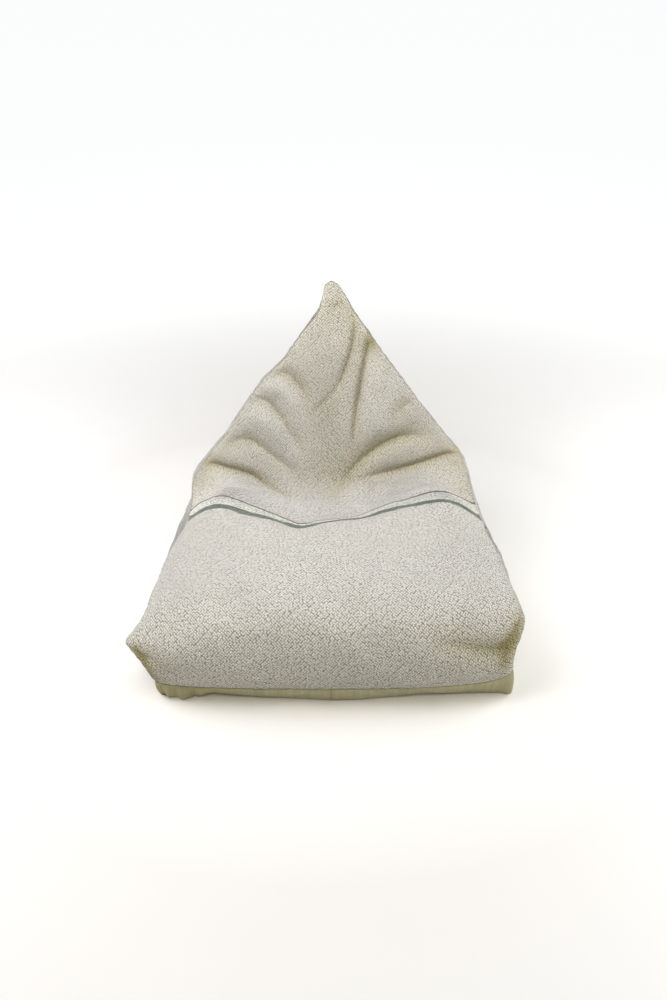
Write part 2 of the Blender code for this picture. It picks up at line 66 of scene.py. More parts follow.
# Seams are (x, y, z), the middle and the rear (y, z) at the bag's middle, and side is half the width
Section = namedtuple("Section", "along left right middle rear side "
                                "front_square front_lean rear_square rear_lean")
SECTIONS = [Section(*row) for row in (
    (0.000, (-0.396, -0.408, 0.045), (0.397, -0.400, 0.074), (-0.440, 0.044), (0.440, 0.045), 0.400,
     2.7, 2.7, 5.0, 5.00),
    (0.050, (-0.417, -0.397, 0.085), (0.393, -0.396, 0.127), (-0.451, 0.094), (0.453, 0.078), 0.404,
     3.0, 3.0, 4.6, 4.60),
    (0.100, (-0.448, -0.379, 0.113), (0.414, -0.368, 0.178), (-0.447, 0.142), (0.460, 0.108), 0.394,
     2.8, 2.8, 4.4, 4.20),
    (0.116, (-0.458, -0.369, 0.120), (0.417, -0.359, 0.185), (-0.442, 0.156), (0.461, 0.116), 0.390,
     2.7, 2.7, 4.3, 4.00),
    (0.150, (-0.434, -0.335, 0.140), (0.409, -0.333, 0.199), (-0.427, 0.186), (0.463, 0.135), 0.382,
     2.6, 2.6, 4.0, 3.60),
    (0.220, (-0.409, -0.275, 0.178), (0.394, -0.275, 0.216), (-0.370, 0.226), (0.463, 0.165), 0.379,
     2.4, 2.4, 3.6, 3.00),
    (0.320, (-0.391, -0.190, 0.203), (0.383, -0.190, 0.228), (-0.272, 0.248), (0.460, 0.200), 0.374,
     2.4, 2.4, 3.2, 2.60),
    (0.430, (-0.370, -0.110, 0.224), (0.365, -0.115, 0.237), (-0.162, 0.249), (0.453, 0.235), 0.359,
     2.4, 2.4, 2.9, 2.20),
    (0.530, (-0.352, -0.060, 0.244), (0.358, -0.060, 0.245), (-0.062, 0.247), (0.444, 0.268), 0.350,
     2.4, 2.4, 2.6, 1.80),
    (0.580, (-0.344, -0.025, 0.276), (0.344, -0.025, 0.276), (-0.013, 0.240), (0.437, 0.290), 0.343,
     2.4, 1.8, 2.5, 1.60),
    (0.640, (-0.340, 0.008, 0.324), (0.330, 0.010, 0.320), (0.047, 0.241), (0.426, 0.316), 0.331,
     2.4, 1.5, 2.4, 1.35),
    (0.700, (-0.310, 0.036, 0.366), (0.310, 0.036, 0.377), (0.092, 0.274), (0.411, 0.346), 0.306,
     2.4, 1.3, 2.3, 1.20),
    (0.760, (-0.267, 0.058, 0.413), (0.273, 0.060, 0.416), (0.108, 0.333), (0.393, 0.380), 0.269,
     2.4, 1.2, 2.2, 1.10),
    (0.840, (-0.222, 0.083, 0.474), (0.221, 0.086, 0.476), (0.123, 0.411), (0.363, 0.432), 0.221,
     2.4, 1.2, 2.1, 1.10),
    (0.920, (-0.173, 0.108, 0.537), (0.170, 0.112, 0.536), (0.141, 0.489), (0.327, 0.500), 0.171,
     2.4, 1.2, 2.0, 1.10),
    (1.000, (-0.115, 0.137, 0.591), (0.122, 0.140, 0.594), (0.156, 0.567), (0.291, 0.568), 0.118,
     2.3, 1.2, 2.0, 1.10),
    (1.070, (-0.076, 0.164, 0.640), (0.078, 0.168, 0.650), (0.172, 0.636), (0.259, 0.634), 0.076,
     2.2, 1.2, 2.0, 1.10),
    (1.130, (-0.033, 0.190, 0.690), (0.041, 0.194, 0.698), (0.188, 0.692), (0.238, 0.690), 0.036,
     2.0, 1.4, 2.0, 1.30),
    (1.170, (-0.024, 0.207, 0.727), (0.021, 0.209, 0.731), (0.196, 0.730), (0.229, 0.730), 0.022,
     2.0, 2.0, 2.0, 1.80),
    (1.190, (-0.019, 0.215, 0.743), (0.009, 0.216, 0.745), (0.206, 0.746), (0.226, 0.746), 0.014,
     2.0, 2.0, 2.0, 2.00),
    (1.195, (-0.012, 0.216, 0.748), (0.002, 0.217, 0.749), (0.212, 0.751), (0.221, 0.751), 0.007,
     2.0, 2.0, 2.0, 2.00),
)]

Swell = namedtuple("Swell", "sideways along wide long height")
SWELLS = (
    Swell(-0.285, 0.600, 0.085, 0.120, 0.055),
    Swell(0.290, 0.605, 0.100, 0.120, 0.066),
    Swell(-0.080, 0.530, 0.050, 0.050, -0.018),
    Swell(0.150, 0.540, 0.060, 0.080, 0.014),
    Swell(-0.005, 0.830, 0.055, 0.190, -0.024),
    Swell(0.020, 0.580, 0.070, 0.028, -0.012),
)

# Points are (sideways, along, depth); above, below and bottom are widths
Crease = namedtuple("Crease", "points above below bottom")
CREASES = (
    # Left shoulder, a sharp fold behind the hump
    Crease(((-0.372, 0.682, 0.014), (-0.335, 0.694, 0.020), (-0.291, 0.702, 0.023), (-0.245, 0.704, 0.025),
            (-0.201, 0.699, 0.024), (-0.171, 0.685, 0.019), (-0.148, 0.670, 0.013), (-0.120, 0.657, 0.008),
            (-0.098, 0.652, 0.003)), 0.009, 0.005, 0.001),
    # Right shoulder
    Crease(((0.086, 0.705, 0.007), (0.124, 0.711, 0.016), (0.162, 0.714, 0.022), (0.202, 0.718, 0.025),
            (0.244, 0.721, 0.026), (0.289, 0.721, 0.025), (0.333, 0.713, 0.022), (0.360, 0.702, 0.015)),
           0.012, 0.006, 0.001),
    # Over the right shoulder, out of the valley
    Crease(((0.014, 0.664, 0.008), (0.035, 0.702, 0.016), (0.063, 0.735, 0.023), (0.092, 0.761, 0.027),
            (0.121, 0.779, 0.027), (0.155, 0.790, 0.026), (0.188, 0.792, 0.022), (0.217, 0.785, 0.013),
            (0.246, 0.768, 0.005)), 0.020, 0.010, 0.002),
    # Over the left shoulder
    Crease(((-0.287, 0.748, 0.003), (-0.253, 0.766, 0.010), (-0.213, 0.778, 0.014), (-0.187, 0.774, 0.014),
            (-0.160, 0.759, 0.012), (-0.134, 0.744, 0.012), (-0.110, 0.729, 0.010), (-0.086, 0.706, 0.004)),
           0.015, 0.009, 0.002),
    # Left of the back, the lower and the upper fold
    Crease(((-0.216, 0.868, 0.004), (-0.192, 0.880, 0.011), (-0.163, 0.883, 0.015), (-0.143, 0.869, 0.016),
            (-0.125, 0.851, 0.015), (-0.109, 0.824, 0.012), (-0.090, 0.799, 0.008), (-0.074, 0.770, 0.003)),
           0.013, 0.010, 0.002),
    Crease(((-0.155, 0.946, 0.008), (-0.134, 0.956, 0.014), (-0.113, 0.960, 0.016), (-0.090, 0.947, 0.016),
            (-0.073, 0.924, 0.014), (-0.065, 0.899, 0.009), (-0.070, 0.868, 0.003)), 0.014, 0.012, 0.003),
    # Right of the back, below its edge
    Crease(((0.150, 0.842, 0.003), (0.172, 0.860, 0.009), (0.190, 0.869, 0.010), (0.208, 0.870, 0.006)),
           0.013, 0.010, 0.003),
    # Two upright ones below the point; the right one starts in a pinch beside the seam
    Crease(((0.043, 1.140, 0.004), (0.051, 1.112, 0.010), (0.056, 1.078, 0.014), (0.049, 1.031, 0.015),
            (0.037, 0.992, 0.014), (0.024, 0.950, 0.011), (0.004, 0.920, 0.006), (-0.028, 0.890, 0.005),
            (-0.050, 0.862, 0.003)), 0.010, 0.007, 0.002),
    Crease(((0.100, 1.050, 0.018), (0.092, 1.036, 0.023), (0.084, 1.010, 0.020), (0.077, 0.971, 0.020),
            (0.069, 0.929, 0.021), (0.062, 0.882, 0.021), (0.057, 0.842, 0.019), (0.054, 0.806, 0.010),
            (0.054, 0.790, 0.004)), 0.013, 0.007, 0.001),
    # Small ones on the right shoulder, beside the right seam and at the point
    Crease(((0.050, 0.689, 0.003), (0.076, 0.696, 0.007), (0.100, 0.690, 0.003)), 0.008, 0.006, 0.001),
    Crease(((0.312, 0.698, 0.003), (0.332, 0.688, 0.006), (0.352, 0.672, 0.004)), 0.007, 0.006, 0.001),
    Crease(((0.002, 1.124, 0.002), (0.010, 1.136, 0.005), (0.016, 1.146, 0.003)), 0.006, 0.005, 0.001),
    # Hollows under the right and the left corner
    Crease(((0.205, 0.131, 0.002), (0.243, 0.121, 0.007), (0.278, 0.111, 0.012), (0.311, 0.098, 0.015),
            (0.345, 0.086, 0.017), (0.375, 0.080, 0.016), (0.400, 0.080, 0.010)), 0.022, 0.013, 0.006),
    Crease(((-0.430, 0.092, 0.006), (-0.411, 0.082, 0.009), (-0.390, 0.073, 0.009), (-0.366, 0.057, 0.007),
            (-0.338, 0.043, 0.003)), 0.012, 0.008, 0.002),
    # Rolls of cloth between the folds, raised instead of sunk
    Crease(((-0.205, 0.912, -0.004), (-0.170, 0.920, -0.010), (-0.130, 0.920, -0.012),
            (-0.099, 0.895, -0.011), (-0.082, 0.865, -0.004)), 0.020, 0.018, 0.010),
    Crease(((-0.262, 0.822, -0.005), (-0.220, 0.836, -0.009), (-0.175, 0.835, -0.010),
            (-0.137, 0.806, -0.009), (-0.105, 0.770, -0.004)), 0.024, 0.022, 0.012),
    Crease(((0.108, 0.990, -0.005), (0.107, 0.945, -0.010), (0.102, 0.895, -0.012), (0.105, 0.850, -0.010),
            (0.130, 0.830, -0.004)), 0.016, 0.024, 0.010),
)

# Shaded cloth under the two front corners, the ears; each point has a strength instead of a depth
EAR_SHADES = (
    Crease(((-0.436, 0.104, 0.8), (-0.429, 0.097, 1.0), (-0.418, 0.080, 1.0), (-0.405, 0.057, 0.9),
            (-0.394, 0.026, 0.7), (-0.383, 0.001, 0.5)), 0.007, 0.014, 0.004),
    Crease(((0.411, 0.122, 0.9), (0.402, 0.109, 1.0), (0.393, 0.094, 0.9), (0.384, 0.074, 0.8),
            (0.378, 0.055, 0.6), (0.375, 0.032, 0.3)), 0.020, 0.009, 0.003),
    Crease(((0.392, 0.092, 0.7), (0.357, 0.088, 0.6), (0.322, 0.096, 0.4), (0.278, 0.108, 0.2),
            (0.250, 0.116, 0.1)), 0.020, 0.007, 0.004),
)

# Patches that the light leaves too dark or too bright: how much painted shade they get, below 0 for painted
# light
Patch = namedtuple("Patch", "sideways along wide long worn")
PATCHES = (
    Patch(-0.248, 0.637, 0.045, 0.024, -1.1),
    Patch(0.238, 0.620, 0.052, 0.028, -1.1),
    Patch(0.035, 0.675, 0.050, 0.022, -0.9),
    Patch(-0.345, 0.650, 0.040, 0.050, 1.2),
    Patch(0.345, 0.620, 0.035, 0.060, 1.4),
)
# A crease of this depth gets the whole painted shade of a fold
FULL_FOLD = 0.028
# Deep painted shade in the pinch beside the right seam
PINCH = Patch(0.098, 1.040, 0.022, 0.024, 1.5)
# Painted shade under the ears, for each unit of their strength
EAR_PAINTED_SHADE = 2.6

# The rim's profile: share of its height, how far it stands out, and share of its tuck
BASE_RIM = (
    (1.00, 0.000, 0.00), (0.86, 0.003, 0.10), (0.55, 0.005, 0.42), (0.24, 0.004, 0.74), (0.07, 0.002, 0.92),
    (0.00, -0.001, 1.00),
)
# Upright folds of the rim: x, how wide, and how far out or in
RIM_FOLDS = (
    (-0.396, 0.006, 0.003), (-0.384, 0.005, -0.006), (-0.370, 0.006, 0.004), (-0.352, 0.006, -0.005),
    (-0.334, 0.008, 0.004), (-0.312, 0.006, -0.005), (-0.290, 0.008, 0.003), (-0.262, 0.010, -0.002),
    (-0.150, 0.030, 0.0015), (0.060, 0.025, 0.0015), (0.200, 0.030, -0.0015), (0.330, 0.020, 0.002),
    (0.372, 0.010, -0.002),
)
# How far the rim is drawn in: at the left and the right side, along the rear, and along the front by x
SIDE_TUCK = (0.012, -0.002)
REAR_TUCK = 0.004
FRONT_TUCK = (
    (-0.410, 0.018), (-0.375, 0.013), (-0.340, 0.008), (-0.305, 0.020), (-0.278, 0.034), (-0.200, 0.028),
    (-0.120, 0.024), (-0.005, 0.014), (0.060, 0.018), (0.127, 0.026), (0.200, 0.033), (0.330, 0.032),
    (0.380, 0.018), (0.400, 0.012),
)
# Painted shade on the rim: everywhere, towards its front corners, and for each metre of depth where a fold is
# drawn in
RIM_PAINTED_SHADE = 0.3
CORNER_PAINTED_SHADE = 1.4
RIM_FOLD_PAINTED_SHADE = 90.0
LEFT_CORNER = (-0.14, -0.26)
RIGHT_CORNER = (0.28, 0.40)

# Columns of a point's place on the cloth; the last two are the distances from the lower and the side seam,
# and on the base from the upper and the middle seam
SIDEWAYS, ALONG, WEAVE_ALONG, FOLD, PAINTED_SHADE, CRISP, TO_LOWER, TO_SIDE = range(8)

# Mesh: columns across each skin, and rows along it
FRONT_COLUMNS = 260
BACK_COLUMNS = 170
INNER_COLUMNS = 6
ROWS = 330
RIM_LEVELS = 14
# How much shorter the mesh's steps get at seams, folds and point, and how far that reaches, across the panel
# in shares of its half width
SHORTER_AT_SEAM = 0.75
SHORTER_AT_FOLDS = 0.45
SHORTER_AT_POINT = 0.5
END_REACH = 0.03
FOLDS_MIDDLE = 0.73
FOLDS_REACH = 0.13
SIDE_REACH = 0.06
INNER_EDGE = 0.10
SHARP_ANGLE = math.radians(55.0)

# Small relief of the cloth, with the shortest and the longest wave of each kind
PUCKER_DEPTH = 0.0013
PUCKER_PITCH = 0.024
PUCKER_REACH = 0.016
PUCKER_RISE = 0.003
PUCKER_DRIFT = 1.6
PUCKER_DRIFT_WAVES = (0.05, 0.20)
PUCKER_UNEVEN = 0.4
PUCKER_UNEVEN_WAVES = (0.04, 0.15)
UNEVEN_DEPTH = 0.0016
UNEVEN_WAVES = (0.10, 0.30)
CRUMPLE_DEPTH = 0.0005
CRUMPLE_WAVES = (0.03, 0.08)
CALM_REACH = 0.02
SEEDS = {"front": 11, "back": 31}

# Weave and stripes, in metres along the cloth
WEAVE_PITCH = 0.0053
WEAVE_STRETCH = 1.1
WEAVE_SLANT = math.radians(42.0)
WEAVE_DRIFT = 0.0024
WEAVE_RANDOMNESS = 0.46
WEAVE_DEPTH = 0.0042
GRAIN_SIZE = 0.0025
BASE_PITCH = WEAVE_PITCH / 4
BASE_DEPTH = 0.0004
# A less crisp weave is flatter around this height
CRISP_LEVEL = 0.26
# Middle of the broad stripe as (sideways, along, how wide it shows), and of the narrow line
STRIPE_PLACES = (
    (-0.400, 0.541, 0.0200), (-0.345, 0.537, 0.0205), (-0.291, 0.533, 0.0138), (-0.262, 0.5315, 0.0115),
    (-0.234, 0.530, 0.0155), (-0.206, 0.5295, 0.0185), (-0.148, 0.529, 0.0142), (-0.125, 0.530, 0.0136),
    (-0.092, 0.531, 0.0250), (-0.065, 0.526, 0.0200), (-0.045, 0.522, 0.0135), (-0.010, 0.5235, 0.0090),
    (0.054, 0.532, 0.0100), (0.085, 0.535, 0.0098), (0.114, 0.538, 0.0156), (0.150, 0.5425, 0.0188),
    (0.186, 0.547, 0.0140), (0.245, 0.545, 0.0098), (0.300, 0.541, 0.0124), (0.340, 0.5385, 0.0230),
    (0.370, 0.536, 0.0280),
)
LINE_PLACES = (
    (-0.400, 0.530), (-0.348, 0.557), (-0.333, 0.576), (-0.303, 0.580), (-0.270, 0.571), (-0.241, 0.569),
    (-0.213, 0.571), (-0.123, 0.561), (-0.075, 0.548), (-0.035, 0.541), (0.020, 0.541), (0.054, 0.552),
    (0.114, 0.574), (0.177, 0.589), (0.207, 0.584), (0.237, 0.579), (0.266, 0.580), (0.297, 0.586),
    (0.331, 0.590), (0.370, 0.570),
)
# The line's sizes are in metres, and the stripe's in stripe widths
LINE_WIDTH = 0.0046
LINE_SOFT = 0.0012
STRIPE_SOFT = 0.1
LINE_WANDER = 0.0016
STRIPE_WANDER = 0.12
DYE_UNEVEN = 0.16

# Floor: half its width, where its glow starts, over what distance it rises, and how strong it gets
FLOOR_REACH = 40.0
GLOW_START = 0.95
GLOW_REACH = 1.5
GLOW_STRENGTH = 0.80

# Wall round the floor, for low views
WALL_DISTANCE = 39.0
WALL_HEIGHT = 40.0
WALL_SIDES = 48
WALL_GLOW = 1.0

# Lamps: name, kind, place, target, size (metres for an area, radians for a sun), power, colour
LAMPS = (
    ("left_high", "AREA", (-1.0, -0.7, 1.8), (0.0, 0.1, 0.3), 1.0, 13.3, (1.0, 0.966, 0.912)),
    ("over_seat", "AREA", (-0.2, -0.45, 1.4), (0.0, -0.1, 0.2), 0.8, 6.0, (1.0, 0.992, 0.983)),
    ("left_side", "AREA", (-1.4, 0.2, 1.1), (0.0, 0.1, 0.3), 1.0, 17.7, (0.947, 0.948, 1.0)),
    ("right_side", "AREA", (1.4, 0.2, 1.1), (0.0, 0.1, 0.3), 1.0, 15.3, (0.965, 0.97, 1.0)),
    ("right_low", "AREA", (1.8, -0.6, 0.8), (0.0, 0.1, 0.3), 1.0, 12.2, (1.0, 0.989, 0.968)),
    ("front_fill", "SUN", (0.0, -1.93, 2.30), (0.0, 0.0, 0.0), math.radians(25.0), 1.0, (1.0, 0.929, 0.769)),
)

WORLD_COLOUR = (1.0, 0.955, 0.87)
WORLD_STRENGTH = 0.02

# Colours; the painted shade in the grooves beside the seams leaves SEAM_SHADE of the cloth's brightness
SEAM_SHADE = 0.35
NATURAL = (0.80, 0.79, 0.765)
NATURAL_DEEP = (0.16, 0.14, 0.085)
# Painted shade in the folds: darker and more olive
FOLD_PAINTED_SHADE = (0.80, 0.75, 0.54)
# Change of colour for each unit of painted shade: darker and yellower
PAINTED_SHADE_CHANGE = (-0.115, -0.125, -0.18)
STRIPE = (0.110, 0.145, 0.122)
LINE = (0.088, 0.086, 0.064)
BETWEEN_TINT = (1.12, 1.165, 1.16)
# Base cloth: its olive is partly its own tone and partly painted shade from the panels above it
OLIVE = (0.47, 0.44, 0.285)
OLIVE_DEEP = (0.27, 0.245, 0.14)
PALE = (0.86, 0.86, 0.855)
GLOW = (0.93, 0.96, 1.0)

# The photo's camera: as far from the bag, as steep and with such a lens
CAMERA_TARGET = Vector((0.0, 0.0, 0.27)) + Vector(TO_CENTRE)
CAMERA_DISTANCE = 2.6
CAMERA_ELEVATION = math.radians(30.0)
CAMERA_FOCAL_PX = 1060.0
IMAGE_HEIGHT_PX = 1000.0


# Curves

def ramp(value, start, end):
    """Rises from 0 at the start to 1 at the end, which may be the lower value."""
    return np.clip((value - start) / (end - start), 0.0, 1.0)


def bell(value, middle, width):
    """1 in the middle, falling towards 0 on both sides."""
    return np.exp(-((value - middle) / width) ** 2)


def smooth_through(knots, values, where):
    """Values at the places asked for, read from a smooth curve through the given ones."""
    knots = np.asarray(knots, float)
    values = np.asarray(values, float)
    where = np.asarray(where, float)
    slopes = np.gradient(values, knots, axis=0)
    index = np.clip(np.searchsorted(knots, where, side="right") - 1, 0, len(knots) - 2)
    span = knots[index + 1] - knots[index]
    share = (where - knots[index]) / span
    if share.ndim:
        span = span[:, None]
        share = share[:, None]
    rest = 1 - share
    smooth = values[index] * (1 + 2 * share) * rest ** 2 + values[index + 1] * share ** 2 * (3 - 2 * share)
    return smooth + span * (slopes[index] * share * rest ** 2 - slopes[index + 1] * share ** 2 * rest)


def run_length(points):
    """How far each point lies along its line, for one line or for each column of a grid."""
    steps = np.linalg.norm(np.diff(points, axis=0), axis=-1)
    return np.concatenate((np.zeros_like(steps[:1]), np.cumsum(steps, axis=0)))


# Rows of the cloth

def section_at(along):
    """The section at any distance along the panel."""
    knots = [section.along for section in SECTIONS]
    flat = [np.hstack(section) for section in SECTIONS]
    row = smooth_through(knots, flat, along)
    return Section(row[0], row[1:4], row[4:7], row[7:9], row[9:11], *row[11:])


def half_turn(square, lean, count=721):
    """A half turn from left to right as (sideways, ahead), both of size 1, squarer for higher numbers."""
    angle = np.radians(np.linspace(-90.0, 90.0, count))
    side = np.sign(angle) * np.abs(np.sin(angle)) ** (2.0 / square)
    ahead = np.abs(np.cos(angle)) ** (2.0 / lean)
    ahead[0] = 0.0
    ahead[-1] = 0.0
    return side, ahead


def spread_along(points, fractions):
    """Points at the given fractions of a line's length, and that length."""
    length = run_length(points)
    where = fractions * length[-1]
    return np.stack([np.interp(where, length, points[:, axis]) for axis in range(3)], axis=1), length[-1]


def cloth_row(section, middle, square, lean, across):
    """One row by way of the given middle (y, z), at places from -1 (left seam) to 1 (right seam)."""
    side, ahead = half_turn(square, lean)
    seam = np.where(side[:, None] < 0, section.left, section.right)
    y = seam[:, 1] + (middle[0] - seam[:, 1]) * ahead
    z = seam[:, 2] + (middle[1] - seam[:, 2]) * ahead
    from_seam = np.hypot((1.0 - np.abs(side)) * section.side, y - seam[:, 1])
    pulled = (np.abs(seam[:, 0] - MIDDLE_X) - section.side) * bell(from_seam, 0.0, EAR_REACH)
    x = MIDDLE_X + side * (section.side + pulled)
    line = np.stack((x, y, z), axis=1)
    half = len(line) // 2
    left, left_length = spread_along(line[:half + 1], 1.0 + across[across < 0])
    right, right_length = spread_along(line[half:], across[across >= 0])
    return np.concatenate((left, right)), across * np.where(across < 0, left_length, right_length)


def cloth_grid(kind, rows, across):
    """A panel's points in rows, each one's distance sideways from the middle, and half its row's length."""
    points = []
    sideways = []
    half = []
    for along in rows:
        section = section_at(along)
        if kind == "front":
            shape = section.middle, section.front_square, section.front_lean
        else:
            shape = section.rear, section.rear_square, section.rear_lean
        row, offset = cloth_row(section, *shape, across)
        points.append(row)
        sideways.append(offset)
        half.append(np.where(across < 0, -offset[0], offset[-1]))
    return np.array(points), np.array(sideways), np.array(half)


# Relief of the cloth

def outward_of(grid):
    """Unit normals of a grid: out of the bag for the front panel, and into it for the back panel."""
    up = np.gradient(grid, axis=0)
    right = np.gradient(grid, axis=1)
    normal = np.cross(right, up)
    return normal / np.maximum(np.linalg.norm(normal, axis=2, keepdims=True), 1e-12)


def patch_share(patch, sideways, along):
    """1 in the middle of a swell or a patch, falling off around it."""
    return bell(sideways, patch.sideways, patch.wide) * bell(along, patch.along, patch.long)


def swell_height(sideways, along):
    return sum(swell.height * patch_share(swell, sideways, along) for swell in SWELLS)


def crease_depth(creases, sideways, along):
    """How deep the creases are at places on the cloth."""
    total = np.zeros_like(sideways)
    for crease in creases:
        points = np.array(crease.points, float)
        places = np.linspace(0.0, len(points) - 1.0, CREASE_STEPS * (len(points) - 1) + 1)
        line = smooth_through(np.arange(len(points)), points, places)
        nearest = np.full(sideways.shape, np.inf)
        side = np.zeros_like(sideways)
        depth = np.zeros_like(sideways)
        for start, end in zip(line[:-1], line[1:]):
            run = end - start
            share = ((sideways - start[0]) * run[0] + (along - start[1]) * run[1]) / (run[:2] @ run[:2])
            share = np.clip(share, 0.0, 1.0)
            off_side = sideways - start[0] - share * run[0]
            off_along = along - start[1] - share * run[1]
            distance = np.hypot(off_side, off_along)
            closer = distance < nearest
            nearest = np.where(closer, distance, nearest)
            side = np.where(closer, run[0] * off_along - run[1] * off_side, side)
            depth = np.where(closer, start[2] + share * run[2], depth)
        width = np.where(side > 0, crease.above, crease.below) + CREASE_SOFTNESS
        bottom = crease.bottom + CREASE_SOFTNESS
        beyond = np.sqrt(nearest ** 2 + bottom ** 2) - bottom
        total += depth * np.exp(-beyond / width)
    return total


def ripples(first, second, shortest, longest, seed, count=40):
    """Soft uneven relief of size about 1, of waves between two lengths in all directions."""
    random = np.random.default_rng(seed)
    total = np.zeros_like(first)
    for _ in range(count):
        length = shortest * (longest / shortest) ** random.random()
        turn = random.random() * 2 * math.pi
        phase = random.random() * 2 * math.pi
        run = first * math.cos(turn) + second * math.sin(turn)
        total += np.cos(2 * math.pi / length * run + phase)
    return total / math.sqrt(count / 2)


def pucker(along_seam, to_seam, seed):
    """Small gathers across a seam, uneven in pitch and depth, fading away from it."""
    straight = np.zeros_like(along_seam)
    drift = PUCKER_DRIFT * ripples(along_seam, straight, *PUCKER_DRIFT_WAVES, seed)
    uneven = PUCKER_UNEVEN * ripples(along_seam, straight, *PUCKER_UNEVEN_WAVES, seed + 1)
    strength = 1.0 - PUCKER_UNEVEN + uneven
    wave = np.sin(2 * math.pi * along_seam / PUCKER_PITCH + drift)
    rise = 1.0 - np.exp(-to_seam / PUCKER_RISE)
    return strength * wave * rise * np.exp(-to_seam / PUCKER_REACH)


def cloth_shades(kind, sideways, along, to_side):
    """How much painted shade of a fold the cloth gets, its other painted shade (painted light below 0), and
    how crisp its weave is.
    """
    fold = np.zeros_like(along)
    crisp = np.ones_like(along)
    # Painted shade along the lower seam and towards the point
    worn = ramp(along, 0.22, 0.0) + 1.3 * ramp(along, 0.92, 1.14)
    if kind != "front":
        return fold, worn, crisp
    # Painted shade in the hollow of the back, painted light behind the stripes
    hollow = ramp(along, 0.60, 0.68) * ramp(along, 1.08, 0.88)
    worn += hollow * bell(sideways, -0.015, 0.060 + 0.10 * np.clip(0.85 - along, 0.0, 0.25))
    worn -= 1.1 * bell(along, 0.632, 0.045) * np.exp(-(sideways / 0.31) ** 4)
    # A softer weave on the back, most beside its middle, and on the low front, the seat and the humps' sides
    beside = 1.0 - bell(sideways, 0.01, 0.11)
    crisp -= (0.32 + 0.20 * beside) * ramp(along, 0.62, 0.74)
    crisp -= 0.12 * ramp(along, 0.80, 0.90)
    crisp -= 0.14 * ramp(along, 0.32, 0.22)
    crisp -= 0.16 * bell(along, 0.46, 0.12)
    crisp -= 0.6 * bell(to_side, 0.0, 0.06) * bell(along, 0.62, 0.14)
    # Where a patch has painted light, its weave is softer too
    for patch in PATCHES:
        change = patch.worn * patch_share(patch, sideways, along)
        worn += change
        crisp += np.minimum(0.5 * change, 0.0)
    # Painted shade in the pinch beside the right seam, under the ears and in the creases
    pinch = patch_share(PINCH, sideways, along)
    ear = np.clip(crease_depth(EAR_SHADES, sideways, along), 0.0, 1.0)
    worn += PINCH.worn * pinch + EAR_PAINTED_SHADE * ear
    fold = np.clip(crease_depth(CREASES, sideways, along) / FULL_FOLD, 0.0, 1.0) ** 0.8
    return np.maximum(fold, np.maximum(pinch, ear)), worn, crisp


def cloth_skin(kind, rows, across):
    """A panel's puffed, swollen, creased and uneven outer surface, and each point's place on the cloth."""
    grid, sideways, half = cloth_grid(kind, rows, across)
    along = np.tile(rows[:, None], (1, len(across)))
    to_side = half - np.abs(sideways)
    to_seam = np.minimum(to_side, along)
    out = PUFF * (1.0 - np.exp(-to_seam / PUFF_REACH))
    if kind == "front":
        out += (1.0 - np.exp(-to_seam / SWELL_EDGE)) * swell_height(sideways, along)
        out -= (1.0 - bell(to_seam, 0.0, CREASE_EDGE)) * crease_depth(CREASES, sideways, along)
    seed = SEEDS[kind]
    calm = 1.0 - np.exp(-to_seam / CALM_REACH)
    out += UNEVEN_DEPTH * calm * ripples(sideways, along, *UNEVEN_WAVES, seed)
    out += CRUMPLE_DEPTH * calm * ripples(sideways, along, *CRUMPLE_WAVES, seed + 1)
    out += PUCKER_DEPTH * pucker(along, to_side, seed + 2)
    out += PUCKER_DEPTH * pucker(sideways, along, seed + 4)
    out *= ramp(along, PANEL_LENGTH, PANEL_LENGTH - POINT_CALM)
    outward = outward_of(grid) * (1.0 if kind == "front" else -1.0)
    weave_along = along if kind == "front" else run_length(grid)
    fold, worn, crisp = cloth_shades(kind, sideways, along, to_side)
    places = np.stack((sideways, along, weave_along, fold, worn, crisp, along, to_side), axis=2)
    return grid + outward * out[:, :, None], places


def inner_skin(rows, across):
    """The surface inside the bag where the two panels' fillings meet, and its normals towards the front."""
    front, _, _ = cloth_grid("front", rows, across)
    back, _, _ = cloth_grid("back", rows, across)
    middle = (front + back) / 2
    forward = outward_of(middle)
    forward *= np.where(forward @ TO_FRONT < 0, -1.0, 1.0)[:, :, None]
    forward[:, 0] = forward[:, 1]
    forward[:, -1] = forward[:, -2]
    return middle, forward


# Meshes

def uneven_steps(count, step_at):
    """Places from 0 to 1 whose steps are as large as step_at says for each place."""
    fine = np.linspace(0.0, 1.0, 2001)
    density = 1.0 / step_at(fine)
    total = np.concatenate(([0.0], np.cumsum((density[1:] + density[:-1]) / 2)))
    return np.interp(np.linspace(0.0, 1.0, count), total / total[-1], fine)


def mesh_rows():
    """Distances along the panel at which the mesh has a row, closer at the seam, the folds and the point."""
    def step(place):
        along = place * PANEL_LENGTH
        near_seam = SHORTER_AT_SEAM * np.exp(-along / END_REACH)
        near_folds = SHORTER_AT_FOLDS * bell(along, FOLDS_MIDDLE, FOLDS_REACH)
        near_point = SHORTER_AT_POINT * np.exp(-(PANEL_LENGTH - along) / END_REACH)
        return 1.0 - near_seam - near_folds - near_point
    return uneven_steps(ROWS, step) * PANEL_LENGTH


def mesh_columns(count):
    """Places across a row from -1 to 1, closer at the seams."""
    def step(place):
        return 1.0 - SHORTER_AT_SEAM * np.exp(-(1.0 - place) / SIDE_REACH)
    half = uneven_steps(count // 2 + 1, step)
    return np.concatenate((-half[::-1], half[1:]))


def inner_columns():
    """Places across the inner skin, with one narrow column beside each seam."""
    even = np.linspace(INNER_EDGE - 1.0, 1.0 - INNER_EDGE, INNER_COLUMNS - 1)
    return np.concatenate(([-1.0], even, [1.0]))


def grid_faces(numbers):
    """Quads of a grid of vertex numbers."""
    quads = np.stack((numbers[:-1, :-1], numbers[:-1, 1:], numbers[1:, 1:], numbers[1:, :-1]), axis=2)
    return [tuple(quad) for quad in quads.reshape(-1, 4).tolist()]


